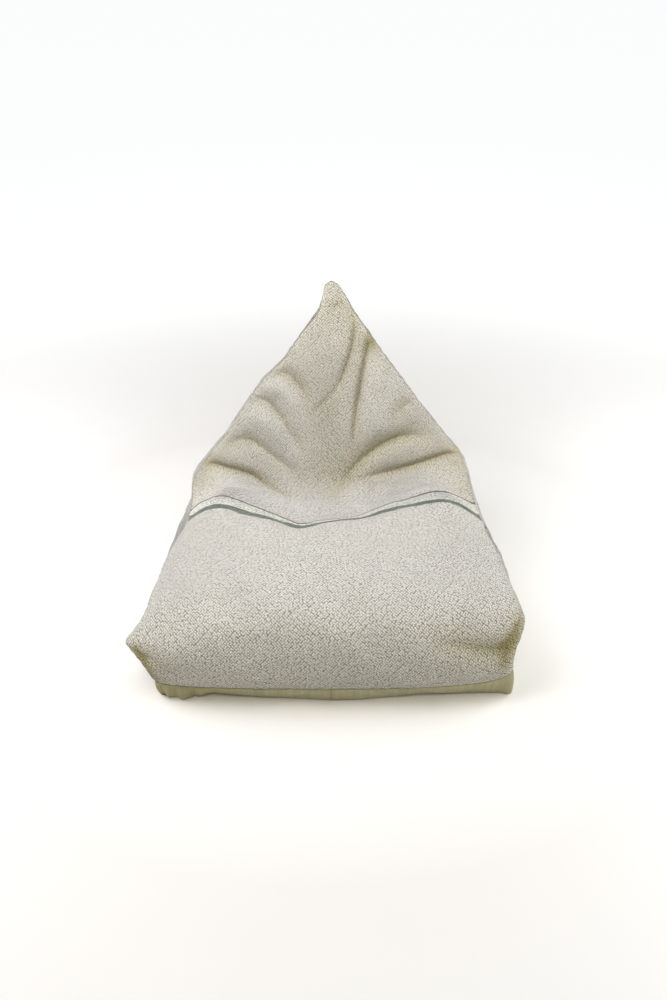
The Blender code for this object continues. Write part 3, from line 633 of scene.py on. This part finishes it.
def zip_faces(first, first_across, second, second_across):
    """Triangles between two lines of vertex numbers, by their places across the row."""
    faces = []
    i = 0
    j = 0
    while i < len(first) - 1 or j < len(second) - 1:
        second_done = j == len(second) - 1
        first_next = second_done or (i < len(first) - 1 and first_across[i + 1] <= second_across[j + 1])
        corner = (int(first[i]), int(first[i + 1] if first_next else second[j + 1]), int(second[j]))
        if len(set(corner)) == 3:
            faces.append(corner)
        i += first_next
        j += not first_next
    return faces


def half_columns(across, right_half):
    """Column numbers of the left or the right half of a row, each with the middle column."""
    middle = len(across) // 2
    return np.arange(middle, len(across)) if right_half else np.arange(0, middle + 1)


def pattern_at(table, sideways):
    """The columns of a stripe's table after the first, at places sideways."""
    table = np.array(table)
    inside = np.clip(sideways, table[0, 0], table[-1, 0])
    return smooth_through(table[:, 0], table[:, 1:], inside).T


def add_object(name, data):
    built = bpy.data.objects.new(name, data)
    bpy.context.scene.collection.objects.link(built)
    return built


def build_object(name, vertices, faces, places, material):
    """A closed, smooth-shaded object, with each vertex's place on the cloth kept in UV layers and attributes.

    The layer "weave" is true to size. "stripes" has the distance from the stripe's middle in stripe widths,
    and the one from the line's middle. "seams" has the distances from the two seams.
    """
    mesh = bpy.data.meshes.new(name)
    mesh.from_pydata((vertices + TO_CENTRE).tolist(), [], faces)
    corner_vertices = np.zeros(len(mesh.loops), np.int64)
    mesh.loops.foreach_get("vertex_index", corner_vertices)
    stripe_middle, stripe_width = pattern_at(STRIPE_PLACES, places[:, SIDEWAYS])
    line_middle, = pattern_at(LINE_PLACES, places[:, SIDEWAYS])
    off_stripe = (places[:, ALONG] - stripe_middle) / stripe_width
    off_line = places[:, ALONG] - line_middle
    layers = {
        "weave": places[:, (SIDEWAYS, WEAVE_ALONG)],
        "stripes": np.stack((off_stripe, off_line), axis=1),
        "seams": places[:, (TO_LOWER, TO_SIDE)],
    }
    for layer_name, values in layers.items():
        layer = mesh.uv_layers.new(name=layer_name)
        layer.data.foreach_set("uv", values[corner_vertices].ravel().astype(np.float32))
    for shade_name, column in (("fold", FOLD), ("worn", PAINTED_SHADE), ("crisp", CRISP)):
        shade = mesh.attributes.new(shade_name, "FLOAT", "POINT")
        shade.data.foreach_set("value", places[:, column].astype(np.float32))
    body = bmesh.new()
    body.from_mesh(mesh)
    bmesh.ops.delete(body, geom=[vertex for vertex in body.verts if not vertex.link_faces], context="VERTS")
    bmesh.ops.recalc_face_normals(body, faces=body.faces)
    body.to_mesh(mesh)
    body.free()
    mesh.shade_smooth()
    mesh.set_sharp_from_angle(angle=SHARP_ANGLE)
    mesh.materials.append(material)
    return add_object(name, mesh)


def build_panel(name, outer, outer_across, places, inner, inner_across, material):
    """A panel with its filling: the outer skin, the inner skin, and a cap at the base and at the point."""
    inner_numbers = np.arange(inner.shape[0] * inner.shape[1]).reshape(inner.shape[:2])
    outer_numbers = inner_numbers.size + np.arange(outer.shape[0] * outer.shape[1]).reshape(outer.shape[:2])
    outer_numbers[:, 0] = inner_numbers[:, 0]
    outer_numbers[:, -1] = inner_numbers[:, -1]
    faces = grid_faces(outer_numbers) + grid_faces(inner_numbers)
    for row in (0, -1):
        for right_half in (False, True):
            one = half_columns(outer_across, right_half)
            two = half_columns(inner_across, right_half)
            faces += zip_faces(outer_numbers[row, one], outer_across[one],
                               inner_numbers[row, two], inner_across[two])
    vertices = np.concatenate((inner.reshape(-1, 3), outer.reshape(-1, 3)))
    inner_places = np.zeros((*inner.shape[:2], places.shape[2]))
    inner_places[:, 0] = places[:, 0]
    inner_places[:, -1] = places[:, -1]
    all_places = np.concatenate([part.reshape(-1, places.shape[2]) for part in (inner_places, places)])
    return build_object(name, vertices, faces, all_places, material)


def base_rim(loop, right_half, order):
    """The base's rim in levels from the seam to the floor, and the painted shade of each point of its loop.
    """
    run = np.gradient(loop, axis=0)[:, :2]
    outward = np.stack((run[:, 1], -run[:, 0]), axis=1) * order
    outward /= np.linalg.norm(outward, axis=1, keepdims=True)
    outward[0] = (0.0, -1.0)
    outward[-1] = (0.0, 1.0)
    facing_front = np.maximum(-outward[:, 1], 0.0) ** 2
    facing_rear = np.maximum(outward[:, 1], 0.0) ** 2
    side_tuck = SIDE_TUCK[right_half]
    knots, tucks = np.array(FRONT_TUCK).T
    tuck = side_tuck + facing_front * (np.interp(loop[:, 0], knots, tucks) - side_tuck)
    tuck += facing_rear * (REAR_TUCK - side_tuck)
    folds = facing_front * sum(depth * bell(loop[:, 0], x, wide) for x, wide, depth in RIM_FOLDS)

    levels = np.linspace(0.0, len(BASE_RIM) - 1.0, RIM_LEVELS)
    profile = smooth_through(np.arange(len(BASE_RIM)), np.array(BASE_RIM), levels)
    rim = np.repeat(loop[None], RIM_LEVELS, axis=0)
    for level, (share, stand_out, drawn_in) in enumerate(profile):
        share = min(max(share, 0.0), 1.0)
        # The folds start at the seam, and are deepest just below the rim's middle
        folded = folds * math.sin(math.pi * (1.0 - share) ** 0.7 * 0.75)
        rim[level, :, :2] += outward * (stand_out - drawn_in * tuck + folded)[:, None]
        rim[level, :, 2] *= share
    rim[:, (0, -1), 0] += order * SEAM_GAP / 2

    # Painted shade: over all the rim, more towards the front corners and where folds are drawn in
    near_corner = np.where(loop[:, 0] < 0, ramp(loop[:, 0], *LEFT_CORNER), ramp(loop[:, 0], *RIGHT_CORNER))
    worn = RIM_PAINTED_SHADE + CORNER_PAINTED_SHADE * near_corner * facing_front + RIM_FOLD_PAINTED_SHADE * np.maximum(-folds, 0.0)
    return rim, worn


def base_places(loop, rim, worn, top):
    """Each point's place on the base's cloth: those of the rim, the top and the bottom."""
    height = rim[:, :, 2]
    nothing = np.zeros_like(height)
    to_upper = loop[:, 2] - height
    to_middle = np.abs(loop[:, 0] - MIDDLE_X)
    run, worn, to_middle = (np.tile(values, (len(rim), 1)) for values in (run_length(loop), worn, to_middle))
    rim_places = np.stack((run, height, height, nothing, worn, nothing, to_upper, to_middle), axis=2)
    rim_places = rim_places.reshape(-1, rim_places.shape[2])
    flat = np.zeros(len(top))
    far = flat + 1.0
    flat_places = np.stack((top[:, 0], top[:, 1], top[:, 1], flat, flat, flat, far, far), axis=1)
    return np.concatenate((rim_places, flat_places, flat_places))


def build_base_half(name, right_half, edges, across, material):
    """Half of the base: a top that follows the panels' undersides, a rim, and a flat bottom."""
    columns = {kind: half_columns(across[kind], right_half) for kind in edges}
    order = 1 if right_half else -1
    front = edges["front"][columns["front"]][::order]
    back = edges["back"][columns["back"]][::order]
    inner = edges["inner"][columns["inner"]][::order]
    loop = np.concatenate((front, back[::-1][1:]))
    corner = len(front) - 1
    rim, worn = base_rim(loop, right_half, order)
    top = inner[:-1].copy()
    top[0, 0] += order * SEAM_GAP / 2
    floor = top * (1.0, 1.0, 0.0)

    rim_numbers = np.arange(rim.shape[0] * rim.shape[1]).reshape(rim.shape[:2])
    top_numbers = rim_numbers.size + np.arange(len(top))
    floor_numbers = top_numbers + len(top)
    faces = grid_faces(rim_numbers)
    for ring, middle in ((rim_numbers[0], top_numbers), (rim_numbers[-1], floor_numbers)):
        middle = np.append(middle, ring[corner])[::order]
        front_ring = ring[:corner + 1][::order]
        back_ring = ring[corner:][::-1][::order]
        inner_across = across["inner"][columns["inner"]]
        faces += zip_faces(front_ring, across["front"][columns["front"]], middle, inner_across)
        faces += zip_faces(back_ring, across["back"][columns["back"]], middle, inner_across)
    # The flat side in the middle of the bag
    side = (*rim_numbers[:, 0], floor_numbers[0], *rim_numbers[::-1, -1], top_numbers[0])
    faces.append(tuple(int(number) for number in side))
    vertices = np.concatenate((rim.reshape(-1, 3), top, floor))
    return build_object(name, vertices, faces, base_places(loop, rim, worn, top), material)


# Materials

class Nodes:
    """Short ways to add nodes to a material."""

    def __init__(self, name):
        self.material = bpy.data.materials.new(name)
        self.material.use_nodes = True
        self.tree = self.material.node_tree
        self.shader = self.tree.nodes["Principled BSDF"]

    def add(self, kind, inputs=(), **settings):
        node = self.tree.nodes.new(kind)
        for setting, value in settings.items():
            setattr(node, setting, value)
        for key, value in dict(inputs).items():
            self.put(node.inputs[key], value)
        return node

    def put(self, socket, value):
        if isinstance(value, bpy.types.NodeSocket):
            self.tree.links.new(value, socket)
        else:
            socket.default_value = value

    def surface(self, name, value):
        self.put(self.shader.inputs[name], value)

    def math(self, operation, *values, clamp=False):
        node = self.add("ShaderNodeMath", dict(enumerate(values)), operation=operation, use_clamp=clamp)
        return node.outputs[0]

    def mix(self, share, first, second):
        """Colours as sockets or as (red, green, blue)."""
        first = first if isinstance(first, bpy.types.NodeSocket) else (*first, 1.0)
        second = second if isinstance(second, bpy.types.NodeSocket) else (*second, 1.0)
        node = self.add("ShaderNodeMix", {0: share, 6: first, 7: second}, data_type="RGBA")
        return node.outputs[2]

    def vector(self, operation, *values):
        return self.add("ShaderNodeVectorMath", dict(enumerate(values)), operation=operation).outputs[0]

    def scaled(self, vector, factor):
        """A vector or a colour times one number."""
        return self.add("ShaderNodeVectorMath", {0: vector, 3: factor}, operation="SCALE").outputs[0]

    def parts(self, vector):
        return self.add("ShaderNodeSeparateXYZ", {0: vector}).outputs

    def place(self, layer):
        return self.add("ShaderNodeUVMap", uv_map=layer).outputs[0]

    def attribute(self, name):
        return self.add("ShaderNodeAttribute", attribute_name=name).outputs["Fac"]

    def noise(self, vector, scale, detail=2.0):
        """Noise around 0.5, its waves 1 / scale long."""
        inputs = {"Vector": vector, "Scale": scale, "Detail": detail}
        return self.add("ShaderNodeTexNoise", inputs).outputs["Fac"]

    def swing(self, value, size):
        """A value from 0 to 1 made one of the given size around 0."""
        return self.math("MULTIPLY_ADD", value, size, -size / 2)

    def band(self, value, width, soft):
        """1 in a band of that width around 0, falling to 0 over its soft edges."""
        inside = self.math("SUBTRACT", width / 2 + soft / 2, self.math("ABSOLUTE", value))
        return self.math("DIVIDE", inside, soft, clamp=True)

    def worn(self, colour):
        """The colour, darker and yellower by the painted shade that the mesh gives, and lighter where that is
        below 0, as painted light.
        """
        change = self.scaled(PAINTED_SHADE_CHANGE, self.attribute("worn"))
        return self.vector("MULTIPLY_ADD", colour, change, colour)

    def seam_shade(self, colour, width, side_share):
        """The colour with painted shade in the groove at the lower seam, and a share of that at the other
        one.
        """
        lower, side = (self.math("SUBTRACT", 1.0, self.math("DIVIDE", to_seam, width, clamp=True))
                       for to_seam in self.parts(self.place("seams"))[:2])
        groove = self.math("MAXIMUM", lower, self.math("MULTIPLY", side, side_share))
        return self.mix(groove, colour, self.scaled(colour, SEAM_SHADE))


def woven(nodes, pitch, grain_size):
    """A lumpy weave of short slanting floats: its place, its height around 0.5, and each float's shade."""
    place = nodes.place("weave")
    drift = nodes.add("ShaderNodeTexNoise", {"Vector": place, "Scale": 90.0}).outputs["Color"]
    drift = nodes.vector("SUBTRACT", drift, (0.5, 0.5, 0.5))
    moved = nodes.vector("ADD", place, nodes.vector("MULTIPLY", drift, (WEAVE_DRIFT, WEAVE_DRIFT, 0.0)))
    slanted = nodes.add("ShaderNodeVectorRotate", {"Vector": moved, "Angle": WEAVE_SLANT},
                        rotation_type="Z_AXIS").outputs[0]
    floats = nodes.vector("MULTIPLY", slanted, (1.0 / pitch, WEAVE_STRETCH / pitch, 0.0))
    inputs = {"Vector": floats, "Scale": 1.0, "Randomness": WEAVE_RANDOMNESS}
    cells = nodes.add("ShaderNodeTexVoronoi", inputs, voronoi_dimensions="2D", feature="F1")
    own = nodes.parts(cells.outputs["Color"])[0]
    grain = nodes.noise(nodes.add("ShaderNodeTexCoord").outputs["Object"], 1.0 / grain_size, 1.0)
    # Each float falls off from its middle, lies higher or lower than the next, and is grainy
    height = nodes.math("MULTIPLY_ADD", cells.outputs["Distance"], -1.3, 0.98)
    height = nodes.math("ADD", nodes.swing(own, 0.12), height)
    height = nodes.math("ADD", nodes.swing(grain, 0.5), height)
    return place, height, own


def woven_stripes(nodes, place, own, colour):
    """The colour of the cloth, brighter between the stripe and the line, with both woven in."""
    off_stripe, off_line = nodes.parts(nodes.place("stripes"))[:2]
    uneven = nodes.noise(place, 60.0)
    stripe = nodes.band(nodes.math("ADD", off_stripe, nodes.swing(uneven, STRIPE_WANDER)), 1.0, STRIPE_SOFT)
    line = nodes.band(nodes.math("ADD", off_line, nodes.swing(uneven, LINE_WANDER)), LINE_WIDTH, LINE_SOFT)
    # Brighter above the stripe, up to 3 mm below the line's middle
    above_stripe = nodes.math("MULTIPLY", off_stripe, 3.0, clamp=True)
    below_line = nodes.math("MULTIPLY", off_line, -300.0, clamp=True)
    between = nodes.math("MULTIPLY", above_stripe, below_line)
    colour = nodes.mix(between, colour, nodes.vector("MULTIPLY", colour, BETWEEN_TINT))
    take_up = nodes.math("MULTIPLY_ADD", own, -DYE_UNEVEN, 1.0)
    for band, dye in ((line, LINE), (stripe, STRIPE)):
        colour = nodes.mix(nodes.math("MULTIPLY", band, take_up), colour, dye)
    return colour


def finish_cloth(nodes, colour, height, roughness, sheen, depth):
    """Roughness is (change with the weave's height, offset), and sheen (how much, how rough)."""
    nodes.surface("Base Color", colour)
    nodes.surface("Roughness", nodes.math("MULTIPLY_ADD", height, *roughness))
    nodes.surface("Specular IOR Level", 0.25)
    nodes.surface("Sheen Weight", sheen[0])
    nodes.surface("Sheen Roughness", sheen[1])
    bump = nodes.add("ShaderNodeBump", {"Strength": 1.0, "Distance": depth, "Height": height})
    nodes.surface("Normal", bump.outputs[0])
    return nodes.material


def natural_cotton(striped):
    """Coarse natural cotton in a lumpy weave, with slubs, and woven stripes where it has them."""
    nodes = Nodes("natural_cotton_striped" if striped else "natural_cotton_plain")
    place, height, own = woven(nodes, WEAVE_PITCH, GRAIN_SIZE)
    crisp = nodes.attribute("crisp")
    height = nodes.math("MULTIPLY_ADD", nodes.math("SUBTRACT", height, CRISP_LEVEL), crisp, CRISP_LEVEL)
    # The gaps between the floats are deep in colour
    gaps = nodes.math("MULTIPLY_ADD", height, -1.4, 0.969, clamp=True)
    colour = nodes.mix(gaps, NATURAL, NATURAL_DEEP)
    # Painted shade in the folds
    colour = nodes.mix(nodes.attribute("fold"), colour, nodes.vector("MULTIPLY", colour, FOLD_PAINTED_SHADE))
    # Painted shade and painted light from the mesh, and painted shade in the seams' grooves
    colour = nodes.seam_shade(nodes.worn(colour), width=0.0030, side_share=0.15)
    if striped:
        colour = woven_stripes(nodes, place, own, colour)
    # Broad clouds, and thicker and thinner yarns both ways
    slub = nodes.noise(nodes.vector("MULTIPLY", place, (30.0, 420.0, 1.0)), 1.0)
    slub_up = nodes.noise(nodes.vector("MULTIPLY", place, (420.0, 30.0, 1.0)), 1.0)
    yarn = nodes.math("MULTIPLY_ADD", nodes.math("ADD", slub, slub_up), 0.5, -0.5)
    tone = nodes.math("MULTIPLY_ADD", yarn, 0.5, 0.92)
    tone = nodes.math("MULTIPLY_ADD", nodes.noise(place, 9.0, 3.0), 0.16, tone)
    return finish_cloth(nodes, nodes.scaled(colour, tone), height, (-0.15, 0.98), (0.12, 0.6), WEAVE_DEPTH)


def base_cotton():
    """Closer woven cotton of the base, clouded and streaked; its olive tone is partly its own, partly painted
    shade.
    """
    nodes = Nodes("base_cotton")
    place, height, _ = woven(nodes, BASE_PITCH, GRAIN_SIZE / 2)
    gaps = nodes.math("MULTIPLY_ADD", height, -0.4, 0.45, clamp=True)
    colour = nodes.mix(gaps, OLIVE, OLIVE_DEEP)
    # Painted shade from the mesh, and painted shade in the seams' grooves
    colour = nodes.seam_shade(nodes.worn(colour), width=0.0014, side_share=1.0)
    streaks = nodes.noise(nodes.vector("MULTIPLY", place, (130.0, 9.0, 1.0)), 1.0)
    tone = nodes.math("MULTIPLY_ADD", streaks, 0.5, 0.58)
    tone = nodes.math("MULTIPLY_ADD", nodes.noise(place, 14.0, 3.0), 0.3, tone)
    return finish_cloth(nodes, nodes.scaled(colour, tone), height, (-0.1, 0.95), (0.1, 0.5), BASE_DEPTH)


def pale_paint(name):
    """Dull pale paint that can glow."""
    nodes = Nodes(name)
    nodes.surface("Base Color", (*PALE, 1.0))
    nodes.surface("Roughness", 0.9)
    nodes.surface("Emission Color", (*GLOW, 1.0))
    return nodes


def floor_paint():
    """Glows far out as a lit backdrop does, for the lamps reach only the part round the bag."""
    nodes = pale_paint("floor_paint")
    nodes.surface("Specular IOR Level", 0.1)
    place = nodes.add("ShaderNodeTexCoord").outputs["Object"]
    away = nodes.add("ShaderNodeVectorMath", {0: place}, operation="LENGTH").outputs["Value"]
    share = nodes.math("DIVIDE", nodes.math("SUBTRACT", away, GLOW_START), GLOW_REACH, clamp=True)
    nodes.surface("Emission Strength", nodes.math("MULTIPLY", share, GLOW_STRENGTH))
    return nodes.material


def backdrop_paint():
    """As pale as the lit floor in front of it."""
    nodes = pale_paint("backdrop_paint")
    nodes.surface("Emission Strength", WALL_GLOW)
    return nodes.material


# The pouf

def build_pouf():
    rows = mesh_rows()
    across = {"front": mesh_columns(FRONT_COLUMNS), "back": mesh_columns(BACK_COLUMNS),
              "inner": inner_columns()}
    inner, forward = inner_skin(rows, across["inner"])
    apart = forward * SEAM_GAP / 2
    lift = np.array((0.0, 0.0, SEAM_GAP))
    front, front_places = cloth_skin("front", rows, across["front"])
    back, back_places = cloth_skin("back", rows, across["back"])
    edges = {"front": front[0], "back": back[0], "inner": inner[0]}
    striped = natural_cotton(striped=True)
    plain = natural_cotton(striped=False)
    olive = base_cotton()
    pieces = (
        (build_panel("front_cloth", front + lift, across["front"], front_places,
                     inner + apart + lift, across["inner"], striped), "front_panel", "natural_cotton"),
        (build_panel("back_cloth", back + lift, across["back"], back_places,
                     inner - apart + lift, across["inner"], plain), "back_panel", "natural_cotton"),
        (build_base_half("base_left_cloth", False, edges, across, olive), "base_left", "base_cotton"),
        (build_base_half("base_right_cloth", True, edges, across, olive), "base_right", "base_cotton"),
    )
    for piece, node, slot in pieces:
        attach(piece, "root")
        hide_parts(node)


# Floor, lights and camera

def build_sheet(name, points, faces, material):
    mesh = bpy.data.meshes.new(name)
    mesh.from_pydata(points, [], faces)
    mesh.materials.append(material)
    return add_object(name, mesh)


def build_stage():
    """A floor, and a wall round it that is only seen: it lights nothing and casts no shadow."""
    corners = [(x * FLOOR_REACH, y * FLOOR_REACH, 0.0) for x, y in ((-1, -1), (1, -1), (1, 1), (-1, 1))]
    floor = build_sheet("floor", corners, [(0, 1, 2, 3)], floor_paint())

    turns = [2 * math.pi * side / WALL_SIDES for side in range(WALL_SIDES)]
    ring = [(WALL_DISTANCE * math.cos(turn), WALL_DISTANCE * math.sin(turn)) for turn in turns]
    corners = [(x, y, z) for z in (0.0, WALL_HEIGHT) for x, y in ring]
    numbers = np.arange(len(corners)).reshape(2, WALL_SIDES)
    faces = grid_faces(np.column_stack((numbers, numbers[:, 0])))
    backdrop = build_sheet("backdrop", corners, faces, backdrop_paint())
    backdrop.visible_diffuse = False
    backdrop.visible_glossy = False
    backdrop.visible_transmission = False
    backdrop.visible_shadow = False


def build_light():
    for name, kind, place, target, size, power, colour in LAMPS:
        lamp = bpy.data.lights.new(name, kind)
        if kind == "SUN":
            lamp.angle = size
        else:
            lamp.size = size
        lamp.energy = power
        lamp.color = colour
        light = add_object(name, lamp)
        light.location = place
        light.rotation_euler = (Vector(target) - Vector(place)).to_track_quat("-Z", "Y").to_euler()
    world = bpy.data.worlds.new("studio")
    bpy.context.scene.world = world
    world.use_nodes = True
    background = world.node_tree.nodes["Background"].inputs
    background["Color"].default_value = (*WORLD_COLOUR, 1.0)
    background["Strength"].default_value = WORLD_STRENGTH


def build_camera():
    data = bpy.data.cameras.new("camera")
    data.sensor_width = 36.0
    data.lens = CAMERA_FOCAL_PX / IMAGE_HEIGHT_PX * data.sensor_width
    camera = add_object("camera", data)
    look = Vector((0.0, math.cos(CAMERA_ELEVATION), -math.sin(CAMERA_ELEVATION)))
    camera.location = CAMERA_TARGET - look * CAMERA_DISTANCE
    camera.rotation_euler = look.to_track_quat("-Z", "Y").to_euler()
    bpy.context.scene.camera = camera


build_camera()
build_light()
build_stage()
build_pouf()
bpy.context.scene.view_settings.view_transform = "Standard"
